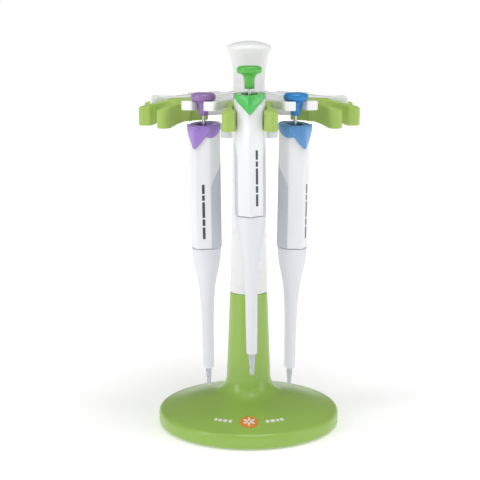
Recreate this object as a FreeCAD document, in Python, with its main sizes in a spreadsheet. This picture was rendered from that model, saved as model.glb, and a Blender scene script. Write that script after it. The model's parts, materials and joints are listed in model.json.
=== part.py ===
import FreeCAD, Part
import math
import os
import Sketcher

# A revolving bench stand for pipettes. Z is up, the origin is the centre of the base's
# underside, and the front of the stand faces -Y. All sizes are in millimetres.
#
# The green base carries a steel spindle. The white turret turns on it with six T-shaped hanger
# arms and six green fork grips between them. Two pipettes hang by their buttons in hanger arms
# and a third stands in the front fork.

os.makedirs("parts", exist_ok=True)
doc = FreeCAD.newDocument("pipette_stand")

sizes = {
    # base and lower column
    "base_radius": 75.0,
    "base_floor_z": 1.2,
    "rim_top_z": 13.5,
    "rim_round": 4.0,
    "dome_z": 25.0,
    "flare_radius": 16.0,
    "foot_radius": 18.2,
    "green_top_radius": 15.4,
    "green_top_z": 111.6,
    "green_bore": 12.0,
    "plate_radius": 71.3,
    "plate_thick": 2.0,
    "weight_outer": 66.0,
    "weight_inner": 29.5,
    "weight_height": 6.6,
    "foot_pad_radius": 6.5,
    "foot_circle": 60.0,
    "screw_circle": 24.0,
    "screw_radius": 1.5,
    "screw_head": 3.0,
    "screw_length": 11.0,
    "post_radius": 4.2,
    "post_height": 21.3,
    "badge_radius": 7.4,
    "badge_circle": 57.0,
    "badge_thick": 0.5,
    "spindle_radius": 5.0,
    "spindle_top_z": 276.0,
    "spindle_collar": 9.0,
    # turret
    "turret_foot_z": 111.9,
    "turret_mid_radius": 13.9,
    "turret_mid_z": 211.0,
    "turret_neck": 12.7,
    "turret_neck_z": 284.0,
    "turret_bore": 9.4,
    "spigot_radius": 10.4,
    "bush_bore": 5.05,
    "bush_height": 12.0,
    "cap_lip_radius": 17.8,
    "cap_lip_z": 309.0,
    "cap_edge_radius": 15.5,
    "cap_edge_z": 312.6,
    "cap_top_z": 316.0,
    "cap_sweep": 58.0,
    "cap_lip_round": 2.6,
    "cap_crown": 37.0,
    # hub and hanger arms
    "hub_inner": 13.2,
    "hub_outer": 16.0,
    "hub_low_z": 258.0,
    "hub_height": 18.0,
    "yoke_inner": 7.0,
    "yoke_width": 4.0,
    "yoke_height": 7.0,
    "pin_reach": 47.5,
    "pin_z": 262.5,
    "pin_radius": 1.5,
    "pin_length": 24.0,
    "arm_root": 14.0,
    "arm_root_half": 6.5,
    "arm_root_rise": 2.8,
    "arm_level": 59.0,
    "arm_half": 9.75,
    "head_inner": 72.2,
    "head_outer": 78.4,
    "head_half": 15.0,
    "slot_half": 4.75,
    "slot_centre": 69.75,
    "arm_low_z": 265.2,
    "arm_thick": 7.0,
    # fork grips
    "fork_rear": 43.5,
    "fork_tongue": 45.5,
    "fork_rear_half": 12.2,
    "fork_shoulder": 57.0,
    "fork_belly_half": 17.6,
    "fork_waist": 71.0,
    "fork_waist_half": 15.5,
    "fork_flare": 83.0,
    "fork_tip": 92.0,
    "fork_tip_half": 22.4,
    "fork_centre": 75.0,
    "fork_opening": 12.7,
    "mouth_half": 9.9,
    "mouth_flare": 13.4,
    "fork_top_z": 271.9,
    "fork_tip_z": 266.0,
    "fork_floor_z": 255.5,
    "prong_low_z": 251.0,
    "yoke_gap": 0.3,
    "notch_run": 9.5,
    "pin_play": 0.06,
    # pipette section: a soft keel in front, shoulders, and a round back
    "keel": 14.0,
    "shoulder_x": 9.7,
    "shoulder_y": 7.0,
    "side_x": 11.7,
    "side_y": 0.8,
    # pipette heights, measured from the collar's rim
    "handle_top": 2.5,
    "hook_start": 6.0,
    "hook_width": 9.4,
    "hook_top": 2.6,
    "hook_under": 6.2,
    "hook_drop": 14.4,
    "hook_reach": 35.5,
    "hook_inner": 31.0,
    "bore_radius": 7.0,
    "bore_depth": 40.0,
    "lower_bore": 4.2,
    "rod_lane": 10.3,
    "rod_lane_radius": 1.5,
    "ejector_rod": 1.2,
    "panel_inset": -1.2,
    "panel_low_top": 46.0,
    "panel_top": 24.0,
    "panel_sweep": 26.0,
    "recess_reach": 8.0,
    "recess_depth": 10.0,
    "recess_play": 0.7,
    "collar_out": 0.5,
    "collar_gap": 0.02,
    "collar_skirt": 9.5,
    "collar_mouth": 6.4,
    "collar_rise": 1.5,
    "rim_tilt": 1.6,
    "past_section": 18.0,
    "key_out": 1.2,
    "key_gap": 0.62,
    "key_half": 10.4,
    "key_shoulder": 3.6,
    "key_top": 0.9,
    "tab_top": 0.7,
    "tab_width": 3.6,
    "tab_slope": 0.6,
    "flange_half": 3.5,
    "flange_inner": 8.9,
    "flange_thick": 1.6,
    "button_radius": 9.5,
    "button_height": 6.0,
    "button_rise": 11.2,
    "neck_top": 4.35,
    "neck_end": 3.7,
    "button_bore": 1.45,
    "button_bore_depth": 8.0,
    "rod_radius": 1.4,
    "rod_drop": 45.0,
    "spring_plate": 5.5,
    "spring_plate_drop": 14.0,
    "spring_plate_thick": 2.0,
    "spring_inner": 4.3,
    "piston_radius": 2.5,
    "piston_past_seam": 45.0,
    "seal_bore": 2.55,
    "seal_height": 3.0,
    "barrel_plug": 4.15,
    "barrel_rise": 10.0,
    "barrel_bore": 2.6,
    "barrel_radius": 3.4,
    "barrel_lower": 3.3,
    "barrel_flange": 5.0,
    "flange_drop": 26.0,
    "nozzle_radius": 2.4,
    "nozzle_tip": 1.5,
    "nozzle_bore": 0.7,
    "sleeve_top": 11.2,
    "sleeve_gap": 0.35,
    "sleeve_bore": 5.2,
    "sleeve_lower_bore": 3.5,
    "sleeve_lip": 2.65,
    "sleeve_end": 4.1,
    # the two hanging pipettes
    "side_seam": 94.5,
    "side_shoulder": 192.0,
    "side_tip": 206.0,
    "side_v": 17.5,
    "side_neck": 6.6,
    "side_circle": 69.6,
    "side_rim_z": 254.7,
    "side_lean": 1.6,
    # the pipette in the front fork
    "front_seam": 90.6,
    "front_shoulder": 198.7,
    "front_tip": 215.5,
    "front_v": 14.5,
    "front_neck": 3.8,
    "front_circle": 75.1,
    "front_rim_z": 278.2,
    "front_lean": 0.6,
    "front_pivot": 16.0,
}

sheet = doc.addObject("Spreadsheet::Sheet", "dims")
for row, (alias, number) in enumerate(sizes.items(), 1):
    sheet.set("A%d" % row, alias)
    sheet.set("B%d" % row, str(number))
    sheet.setAlias("B%d" % row, alias)
doc.recompute()

X_AXIS = FreeCAD.Vector(1, 0, 0)
Y_AXIS = FreeCAD.Vector(0, 1, 0)
Z_AXIS = FreeCAD.Vector(0, 0, 1)
PLANES = {
    "plan": FreeCAD.Rotation(),
    "front": FreeCAD.Rotation(X_AXIS, 90),
    "side": FreeCAD.Rotation(FreeCAD.Vector(1, 1, 1), 120),
}
finished = []


def value(text):
    """The number that a sum of products of sheet names and plain numbers stands for."""
    total = 0.0
    for part in text.replace("- ", "+ -1 * ").split("+"):
        if part.strip():
            product = 1.0
            for word in part.split("*"):
                product *= sizes[word.strip()] if word.strip() in sizes else float(word)
            total += product
    return total


def bound(text):
    """The same sum as an expression on the sheet's cells."""
    return " ".join("dims." + word if word in sizes else word for word in text.split())


def minus(text):
    """The same sum with every sign turned."""
    signed = text if text.startswith("- ") else "+ " + text
    turned_round = signed.replace("+ ", "~ ").replace("- ", "+ ").replace("~ ", "- ")
    return turned_round[2:] if turned_round.startswith("+ ") else turned_round


def bind(thing, **properties):
    for name, text in properties.items():
        thing.setExpression(name, bound(text))
    return thing


def arc_centre(start, end, radius, side):
    chord = end - start
    rise = math.sqrt(max(radius * radius - chord.Length ** 2 / 4, 0))
    across = FreeCAD.Vector(-chord.y, chord.x, 0).normalize()
    return (start + end) * 0.5 + across * rise * side


def outline(name, plane, corners, level="0"):
    """A closed sketch through corners (across, up). A corner with a radius and a side starts
    an arc to the next corner, whose centre lies left (1) or right (-1) of the way there.
    A half circle is held by its centre, because its ends already give its radius."""
    sketch = doc.addObject("Sketcher::SketchObject", name)
    sketch.Placement = FreeCAD.Placement(FreeCAD.Vector(), PLANES[plane])
    points = [FreeCAD.Vector(value(corner[0]), value(corner[1]), 0) for corner in corners]
    ends = []
    for index, corner in enumerate(corners):
        start, end = points[index], points[(index + 1) % len(points)]
        if len(corner) == 4:
            radius = value(corner[2])
            centre = arc_centre(start, end, radius, corner[3])
            first, last = (start, end) if corner[3] > 0 else (end, start)
            angles = [math.atan2(p.y - centre.y, p.x - centre.x) for p in (first, last)]
            circle = Part.Circle(centre, Z_AXIS, radius)
            edge = sketch.addGeometry(Part.ArcOfCircle(circle, angles[0], angles[1]))
            if abs((end - start).Length - 2 * radius) > 1e-6:
                kept, text = Sketcher.Constraint("Radius", edge, radius), corner[2]
            elif abs(end.y - start.y) < 1e-6:
                kept, text = Sketcher.Constraint("DistanceY", -1, 1, edge, 3, start.y), corner[1]
            else:
                kept, text = Sketcher.Constraint("DistanceX", -1, 1, edge, 3, start.x), corner[0]
            sketch.setExpression("Constraints[%d]" % sketch.addConstraint(kept), bound(text))
            ends.append((edge, 1, 2) if corner[3] > 0 else (edge, 2, 1))
        else:
            edge = sketch.addGeometry(Part.LineSegment(start, end))
            ends.append((edge, 1, 2))
    for index, corner in enumerate(corners):
        edge, begin, finish = ends[index]
        following = ends[(index + 1) % len(ends)]
        sketch.addConstraint(
            Sketcher.Constraint("Coincident", edge, finish, following[0], following[1]))
        for kind, axis, text in (("DistanceX", -2, corner[0]), ("DistanceY", -1, corner[1])):
            if value(text) == 0:
                sketch.addConstraint(Sketcher.Constraint("PointOnObject", edge, begin, axis))
            else:
                number = sketch.addConstraint(
                    Sketcher.Constraint(kind, -1, 1, edge, begin, value(text)))
                sketch.setExpression("Constraints[%d]" % number, bound(text))
    if value(level) != 0:
        bind(sketch, **{"Placement.Base.z": level})
    return sketch


def extrude(name, sketch, length, both=False):
    solid = doc.addObject("Part::Extrusion", name)
    solid.Base = sketch
    solid.DirMode = "Normal"
    solid.Solid = True
    solid.Symmetric = both
    return bind(solid, LengthFwd=length)


def revolve(name, corners):
    solid = doc.addObject("Part::Revolution", name)
    solid.Source = outline(name + "_outline", "front", corners)
    solid.Axis = Z_AXIS
    solid.Angle = 360
    solid.Solid = True
    return solid


def cylinder(name, radius, height, place=None, turn=None):
    solid = bind(doc.addObject("Part::Cylinder", name), Radius=radius, Height=height)
    solid.Placement = FreeCAD.Placement(place or FreeCAD.Vector(), turn or FreeCAD.Rotation())
    return solid


def box(name, length, width, height, place):
    solid = bind(doc.addObject("Part::Box", name), Length=length, Width=width, Height=height)
    solid.Placement = FreeCAD.Placement(place, FreeCAD.Rotation())
    return solid


def fuse(name, *solids):
    together = doc.addObject("Part::MultiFuse", name)
    together.Shapes = list(solids)
    return together


def cut(name, base, *tools):
    left = doc.addObject("Part::Cut", name)
    left.Base = base
    left.Tool = tools[0] if len(tools) == 1 else fuse(name + "_tools", *tools)
    return left


def common(name, *solids):
    shared = doc.addObject("Part::MultiCommon", name)
    shared.Shapes = list(solids)
    return shared


def group(name, *solids):
    together = doc.addObject("Part::Compound", name)
    together.Links = list(solids)
    return together


def node(solid, name, placement=None):
    solid.Label = name
    if placement:
        solid.Placement = placement
    finished.append(solid)


def around(radius, azimuth, z=0.0):
    angle = math.radians(azimuth)
    return FreeCAD.Vector(radius * math.cos(angle), radius * math.sin(angle), z)


def turned(azimuth):
    return FreeCAD.Placement(FreeCAD.Vector(), FreeCAD.Rotation(Z_AXIS, azimuth))


# ---- base -----------------------------------------------------------------------------------

def base_shell():
    shell = revolve("shell_wall", [
        ("base_radius - 2", "base_floor_z"),
        ("base_radius", "base_floor_z + 2.5"),
        ("base_radius", "rim_top_z - rim_round", "rim_round", 1),
        ("base_radius - rim_round", "rim_top_z"),
        ("foot_radius + flare_radius", "dome_z", "flare_radius", -1),
        ("foot_radius", "dome_z + flare_radius"),
        ("green_top_radius", "green_top_z"),
        ("spindle_radius", "green_top_z"),
        ("spindle_radius", "green_top_z - 7"),
        ("green_bore", "green_top_z - 7"),
        ("green_bore", "dome_z + 8"),
        ("foot_radius + flare_radius - 4", "dome_z - 3.5"),
        ("plate_radius - 4", "rim_top_z - 3.2"),
        ("plate_radius", "rim_top_z - 5"),
        ("plate_radius", "base_floor_z"),
    ])
    floor = value("base_floor_z + plate_thick")
    posts = [cylinder("shell_post", "post_radius", "post_height",
                      around(value("screw_circle"), 45 + 90 * turn, floor)) for turn in range(4)]
    holes = [cylinder("post_hole", "screw_radius", "screw_length",
                      around(value("screw_circle"), 45 + 90 * turn, value("base_floor_z")))
             for turn in range(4)]
    node(cut("shell", fuse("shell_with_posts", shell, *posts), *holes), "base_shell")


def base_inside():
    plate = cylinder("plate_disc", "plate_radius", "plate_thick", around(0, 0, value("base_floor_z")))
    heads = [cylinder("plate_hole", "screw_head", "plate_thick",
                      around(value("screw_circle"), 45 + 90 * turn, value("base_floor_z")))
             for turn in range(4)]
    node(cut("plate", plate, *heads), "base_plate")

    floor = value("base_floor_z + plate_thick")
    ring = cylinder("weight_disc", "weight_outer", "weight_height", around(0, 0, floor))
    hole = cylinder("weight_hole", "weight_inner", "weight_height", around(0, 0, floor))
    node(cut("weight", ring, hole), "base_weight")

    feet = [cylinder("foot_pad", "foot_pad_radius", "base_floor_z",
                     around(value("foot_circle"), 45 + 90 * turn)) for turn in range(4)]
    node(group("feet", *feet), "rubber_feet")

    screws = []
    for turn in range(4):
        place = around(value("screw_circle"), 45 + 90 * turn, value("base_floor_z"))
        head = cylinder("screw_head_disc", "screw_head", "plate_thick", place)
        shank = cylinder("screw_shank", "screw_radius", "screw_length", place)
        screws.append(fuse("screw", head, shank))
    node(group("screws", *screws), "base_screws")


def badge():
    slope = revolve("badge_layer", [
        ("foot_radius + flare_radius", "dome_z"),
        ("base_radius - rim_round", "rim_top_z"),
        ("base_radius - rim_round", "rim_top_z + badge_thick"),
        ("foot_radius + flare_radius", "dome_z + badge_thick"),
    ])
    disc = cylinder("badge_disc", "badge_radius", "dome_z + 5",
                    around(value("badge_circle"), 270))
    node(common("badge_piece", slope, disc), "badge")


def spindle():
    node(revolve("spindle_rod", [
        ("0", "base_floor_z + plate_thick"),
        ("spindle_radius", "base_floor_z + plate_thick"),
        ("spindle_radius", "green_top_z - 14"),
        ("spindle_collar", "green_top_z - 13"),
        ("spindle_collar", "green_top_z - 7"),
        ("spindle_radius", "green_top_z - 7"),
        ("spindle_radius", "spindle_top_z - 1"),
        ("spindle_radius - 1", "spindle_top_z"),
        ("0", "spindle_top_z"),
    ]), "spindle")


# ---- turret ---------------------------------------------------------------------------------

def turret():
    node(revolve("turret_tube", [
        ("0", "turret_neck_z - 4"),
        ("turret_bore", "turret_neck_z - 4"),
        ("turret_bore", "turret_foot_z"),
        ("green_top_radius", "turret_foot_z"),
        ("turret_mid_radius", "turret_mid_z"),
        ("turret_neck", "turret_neck_z"),
        ("spigot_radius", "turret_neck_z"),
        ("spigot_radius", "turret_neck_z + 8"),
        ("0", "turret_neck_z + 8"),
    ]), "turret_column")

    node(revolve("cap_bell", [
        ("0", "turret_neck_z + 8"),
        ("spigot_radius", "turret_neck_z + 8"),
        ("spigot_radius", "turret_neck_z"),
        ("turret_neck", "turret_neck_z", "cap_sweep", -1),
        ("cap_lip_radius", "cap_lip_z", "cap_lip_round", 1),
        ("cap_edge_radius", "cap_edge_z", "cap_crown", 1),
        ("2", "cap_top_z"),
        ("0", "cap_top_z"),
    ]), "top_cap")

    bushes = []
    for level in ("green_top_z + 0.05", "turret_neck_z - 22"):
        place = around(0, 0, value(level))
        ring = cylinder("bush_ring", "turret_bore", "bush_height", place)
        bore = cylinder("bush_hole", "bush_bore", "bush_height", place)
        bushes.append(cut("bush", ring, bore))
    node(group("bushes", *bushes), "turret_bushes")


def hub():
    low = value("pin_z - 0.5 * yoke_height")
    ring = cylinder("hub_ring", "hub_outer", "hub_height", around(0, 0, value("hub_low_z")))
    bore = cylinder("hub_hole", "hub_inner", "hub_height", around(0, 0, value("hub_low_z")))
    bars = []
    for azimuth in range(30, 360, 60):
        for side in (value("yoke_inner"), value("- yoke_inner - yoke_width")):
            bar = box("yoke_bar", "pin_reach - 8", "yoke_width", "yoke_height",
                      FreeCAD.Vector(8, side, low))
            end = cylinder("yoke_end", "0.5 * yoke_height", "yoke_width",
                           FreeCAD.Vector(value("pin_reach"), side + value("yoke_width"),
                                          value("pin_z")), PLANES["front"])
            for piece in (bar, end):
                piece.Placement = turned(azimuth).multiply(piece.Placement)
                bars.append(piece)
    holes = [pin("yoke_hole", azimuth, "pin_radius") for azimuth in range(30, 360, 60)]
    node(cut("hub_spider_piece", fuse("hub_with_yokes", ring, *bars), bore, *holes), "hub_spider")

    pins = [pin("grip_pin", azimuth, "pin_radius") for azimuth in range(30, 360, 60)]
    node(group("pins", *pins), "grip_pins")


def pin(name, azimuth, radius):
    place = FreeCAD.Vector(value("pin_reach"), value("0.5 * pin_length"), value("pin_z"))
    rod = cylinder(name, radius, "pin_length", place, PLANES["front"])
    rod.Placement = turned(azimuth).multiply(rod.Placement)
    return rod


def hanger_arm(azimuth, number):
    half = [
        ("arm_root", "arm_root_half"),
        ("arm_level", "arm_half"),
        ("head_inner", "arm_half"),
        ("head_inner", "head_half"),
        ("head_outer", "head_half"),
        ("head_outer", "slot_half"),
    ]
    mirrored = [(across, minus(up)) for across, up in reversed(half)]
    slot = [("slot_centre", "slot_half", "slot_half", 1), ("slot_centre", "- slot_half")]
    plan = outline("arm_plan", "plan", half + slot + mirrored, "arm_low_z - 2")
    side = outline("arm_side", "front", [
        ("arm_root", "arm_low_z + arm_root_rise"),
        ("arm_level", "arm_low_z"),
        ("head_outer + 1", "arm_low_z"),
        ("head_outer + 1", "arm_low_z + arm_thick"),
        ("arm_level", "arm_low_z + arm_thick"),
        ("arm_root", "arm_low_z + arm_thick + arm_root_rise"),
    ])
    block = common("arm_block", extrude("arm_flat", plan, "arm_thick + 8"),
                   extrude("arm_edge", side, "2 * head_half + 2", True))
    clear = cylinder("arm_clear", "hub_outer", "arm_thick + 10",
                     around(0, 0, value("arm_low_z - 3")))
    node(cut("arm", block, clear), "hanger_arm_%d" % number, turned(azimuth))


def fork(azimuth, number):
    half = [
        ("fork_rear", "fork_rear_half"),
        ("fork_shoulder", "fork_rear_half + 0.3"),
        ("fork_shoulder + 4", "fork_belly_half"),
        ("fork_waist", "fork_waist_half"),
        ("fork_flare", "fork_tip_half - 1"),
        ("fork_tip - 4", "fork_tip_half"),
        ("fork_tip", "fork_tip_half - 2.5"),
    ]
    mirrored = [(across, minus(up)) for across, up in reversed(half)]
    plan = outline("fork_plan", "plan", half + mirrored, "prong_low_z - 1")
    side = outline("fork_side", "front", [
        ("fork_rear", "fork_floor_z"),
        ("fork_waist - 5", "fork_floor_z"),
        ("fork_waist + 9", "prong_low_z"),
        ("fork_tip + 1", "prong_low_z"),
        ("fork_tip + 1", "fork_tip_z"),
        ("fork_waist - 11", "fork_top_z"),
        ("fork_tongue", "fork_top_z"),
        ("fork_tongue", "pin_z - 0.5 * yoke_height - 0.05"),
        ("fork_rear", "pin_z - 0.5 * yoke_height - 0.05"),
    ])
    block = common("fork_block", extrude("fork_flat", plan, "fork_top_z - prong_low_z + 2"),
                   extrude("fork_edge", side, "2 * fork_tip_half + 2", True))
    opening = cylinder("fork_round", "fork_opening", "fork_top_z - prong_low_z + 2",
                       around(value("fork_centre"), 0, value("prong_low_z - 1")))
    mouth = extrude("fork_mouth", outline("mouth_plan", "plan", [
        ("fork_centre + 3", "mouth_half"),
        ("fork_centre + 3", "- mouth_half"),
        ("fork_flare", "- mouth_half"),
        ("fork_tip - 1", "- mouth_flare"),
        ("fork_tip + 1", "- mouth_flare"),
        ("fork_tip + 1", "mouth_flare"),
        ("fork_tip - 1", "mouth_flare"),
        ("fork_flare", "mouth_half"),
    ], "prong_low_z - 1"), "fork_top_z - prong_low_z + 2")
    notches = [box("fork_notch", "notch_run", "yoke_width + 2 * yoke_gap", "fork_top_z - pin_z + 5",
                   FreeCAD.Vector(value("fork_rear - 0.5"), side_y,
                                  value("pin_z - 0.5 * yoke_height - 0.05")))
               for side_y in (value("yoke_inner - yoke_gap"),
                              value("- yoke_inner - yoke_width - yoke_gap"))]
    hole = cylinder("fork_hole", "pin_radius + pin_play", "3 * head_half",
                    FreeCAD.Vector(value("pin_reach"), value("1.5 * head_half"), value("pin_z")),
                    PLANES["front"])
    node(cut("fork", block, opening, mouth, hole, *notches), "fork_grip_%d" % number,
         turned(azimuth))


# ---- pipettes -------------------------------------------------------------------------------
# Each is drawn upright with its rim at z = 0 and its front towards -Y, then placed.

def section(name, low, height, grow):
    """An upright solid of the handle's section, grown all round."""
    corners = [
        ("0", "- keel - " + grow),
        ("shoulder_x + 0.8 * " + grow, "- shoulder_y - 0.8 * " + grow),
        ("side_x + " + grow, "side_y", "side_x + " + grow, 1),
        ("- side_x - " + grow, "side_y"),
        ("- shoulder_x - 0.8 * " + grow, "- shoulder_y - 0.8 * " + grow),
    ]
    return extrude(name, outline(name + "_plan", "plan", corners, low), height)


def through(name, corners):
    """A solid right across the pipette, drawn in its side view (depth, height)."""
    return extrude(name, outline(name + "_side", "side", corners), "4 * side_x", True)


def across(name, corners, depth):
    """A solid from the pipette's middle forwards, drawn in its front view (across, height)."""
    return extrude(name, outline(name + "_front", "front", corners), depth)


def handle_and_panel(name, kind, placement):
    seam = kind + "_seam"
    core = section(name + "_core", "- " + seam, seam + " - handle_top", "0")
    inner = section(name + "_inner", "- " + seam, seam, "panel_inset")
    hook = extrude(name + "_hook", outline(name + "_hook_side", "side", [
        ("hook_start", "- hook_top"),
        ("hook_reach - 1.5", "- hook_top"),
        ("hook_reach", "- hook_top - 2"),
        ("hook_reach", "- hook_drop + 1.4"),
        ("hook_reach - 1.6", "- hook_drop"),
        ("hook_inner + 1.4", "- hook_drop"),
        ("hook_inner", "- hook_drop + 1.4"),
        ("hook_inner", "- hook_under - 0.8"),
        ("hook_inner - 0.8", "- hook_under"),
        ("hook_start", "- hook_under"),
    ]), "hook_width", True)
    back = through(name + "_back", [
        ("- shoulder_y", "- " + seam),
        ("2 * side_x", "- " + seam),
        ("2 * side_x", "- panel_top"),
        ("side_x", "- panel_top", "panel_sweep", 1),
        ("- shoulder_y", "- panel_low_top"),
    ])
    panel = common(name + "_panel", cut(name + "_skin", core, inner), back)
    bore = cylinder(name + "_bore", "bore_radius", "bore_depth",
                    FreeCAD.Vector(0, 0, value("- bore_depth")))
    lower = cylinder(name + "_lower_bore", "lower_bore", seam,
                     FreeCAD.Vector(0, 0, value("- " + seam)))
    lane = cylinder(name + "_lane", "rod_lane_radius", seam,
                    FreeCAD.Vector(0, value("- rod_lane"), value("- " + seam)))
    recess = box(name + "_recess", "2 * flange_half + 2 * recess_play", "recess_reach",
                 "recess_depth", FreeCAD.Vector(value("- flange_half - recess_play"),
                                                value("- flange_inner + 0.3 - recess_reach"),
                                                value("- recess_depth")))
    solid = fuse(name + "_hooked", core, hook)
    node(cut(name + "_shell", solid, panel, bore, lower, lane, recess), name + "_handle", placement)
    # a group of one, because the handle's cut needs the first panel left in place
    node(group(name + "_panel_piece", panel), name + "_grip_panel", placement)


def collar(name, placement):
    outer = section(name + "_collar_outer", "- collar_skirt", "collar_skirt + collar_rise",
                    "collar_out")
    inner = section(name + "_collar_inner", "- collar_skirt - 1", "collar_skirt + 1 - handle_top",
                    "collar_gap")
    mouth = cylinder(name + "_collar_mouth", "collar_mouth", "3 * handle_top",
                     FreeCAD.Vector(0, 0, value("- handle_top - 1")))
    above = through(name + "_rim_slope", [
        ("- past_section", "- rim_tilt"),
        ("past_section", "rim_tilt"),
        ("past_section", "rim_tilt + 5"),
        ("- past_section", "rim_tilt + 5"),
    ])
    below = through(name + "_lobes", [
        ("- past_section", "- collar_skirt - 2"),
        ("past_section", "- collar_skirt - 2"),
        ("past_section", "- handle_top"),
        ("6", "- handle_top - 1.2"),
        ("3", "- handle_top - 2.3"),
        ("- 3", "- collar_skirt + 0.8"),
        ("- shoulder_y", "- collar_skirt"),
        ("- shoulder_y - 3", "- collar_skirt + 1"),
        ("- past_section", "- handle_top"),
    ])
    front = box(name + "_collar_front", "2 * flange_half + 2 * recess_play", "recess_depth",
                "past_section", FreeCAD.Vector(value("- flange_half - recess_play"),
                                               value("- flange_inner + 0.3 - recess_depth"),
                                               value("rim_tilt - past_section + 3")))
    hook = box(name + "_collar_hook", "hook_width + 0.4", "past_section", "hook_drop",
               FreeCAD.Vector(value("- 0.5 * hook_width - 0.2"), value("hook_start - 1"),
                              value("- handle_top - hook_drop")))
    node(cut(name + "_collar_piece", outer, inner, mouth, above, below, front, hook),
         name + "_collar", placement)


def ejector_key(name, kind, placement, tab_on_left):
    drop = kind + "_v"
    outer = section(name + "_key_outer", "- " + drop, drop + " + 2", "key_out")
    inner = section(name + "_key_inner", "- " + drop + " - 1", drop + " + 4", "key_gap")
    shield = [
        ("0", "- " + drop),
        ("key_half", "- key_shoulder"),
        ("key_half", "tab_top"),
        ("key_half - tab_width", "tab_top"),
        ("key_half - tab_width - tab_slope", "- key_top"),
        ("- key_half", "- key_top"),
        ("- key_half", "- key_shoulder"),
    ]
    if tab_on_left:
        shield = [(minus(across_it), up) for across_it, up in reversed(shield)]
    shape = across(name + "_key_front", shield, "2 * keel")
    blade = common(name + "_key_blade", cut(name + "_key_skin", outer, inner), shape)
    flange = box(name + "_key_flange", "2 * flange_half", "keel + 0.9 - flange_inner",
                 "flange_thick", FreeCAD.Vector(value("- flange_half"), value("- keel - 0.9"),
                                                value("- handle_top + 0.1")))
    node(fuse(name + "_key", blade, common(name + "_key_bridge", flange, outer)),
         name + "_ejector_key", placement)


def button_and_plunger(name, kind, placement):
    end, seam = kind + "_neck", kind + "_seam"
    node(revolve(name + "_button_turned", [
        ("button_bore", end),
        ("neck_end", end),
        ("neck_top", end + " + button_rise - 1.5"),
        ("neck_top", end + " + button_rise"),
        ("button_radius - 0.8", end + " + button_rise"),
        ("button_radius", end + " + button_rise + 1.2"),
        ("button_radius", end + " + button_rise + 3.6"),
        ("button_radius - 1.2", end + " + button_rise + 5.4"),
        ("button_radius - 3", end + " + button_rise + button_height"),
        ("0", end + " + button_rise + button_height - 0.4"),
        ("0", end + " + button_bore_depth"),
        ("button_bore", end + " + button_bore_depth"),
    ]), name + "_button", placement)

    rod = cylinder(name + "_rod", "rod_radius", end + " + button_bore_depth + rod_drop - 0.1",
                   FreeCAD.Vector(0, 0, value("- rod_drop")))
    plate = cylinder(name + "_rod_plate", "spring_plate", "spring_plate_thick",
                     FreeCAD.Vector(0, 0, value("- spring_plate_drop")))
    node(fuse(name + "_rod_piece", rod, plate), name + "_plunger_rod", placement)

    length = "bore_depth - spring_plate_drop - 0.1"
    low = FreeCAD.Vector(0, 0, value("- bore_depth + 0.05"))
    coil = cylinder(name + "_coil", "spring_plate - 0.1", length, low)
    hollow = cylinder(name + "_coil_hole", "spring_inner", length, low)
    node(cut(name + "_spring", coil, hollow), name + "_plunger_spring", placement)

    piston = cylinder(name + "_piston_bar", "piston_radius", seam + " + piston_past_seam - rod_drop",
                      FreeCAD.Vector(0, 0, value("- " + seam + " - piston_past_seam")))
    node(group(name + "_piston_rod", piston), name + "_piston", placement)


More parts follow.
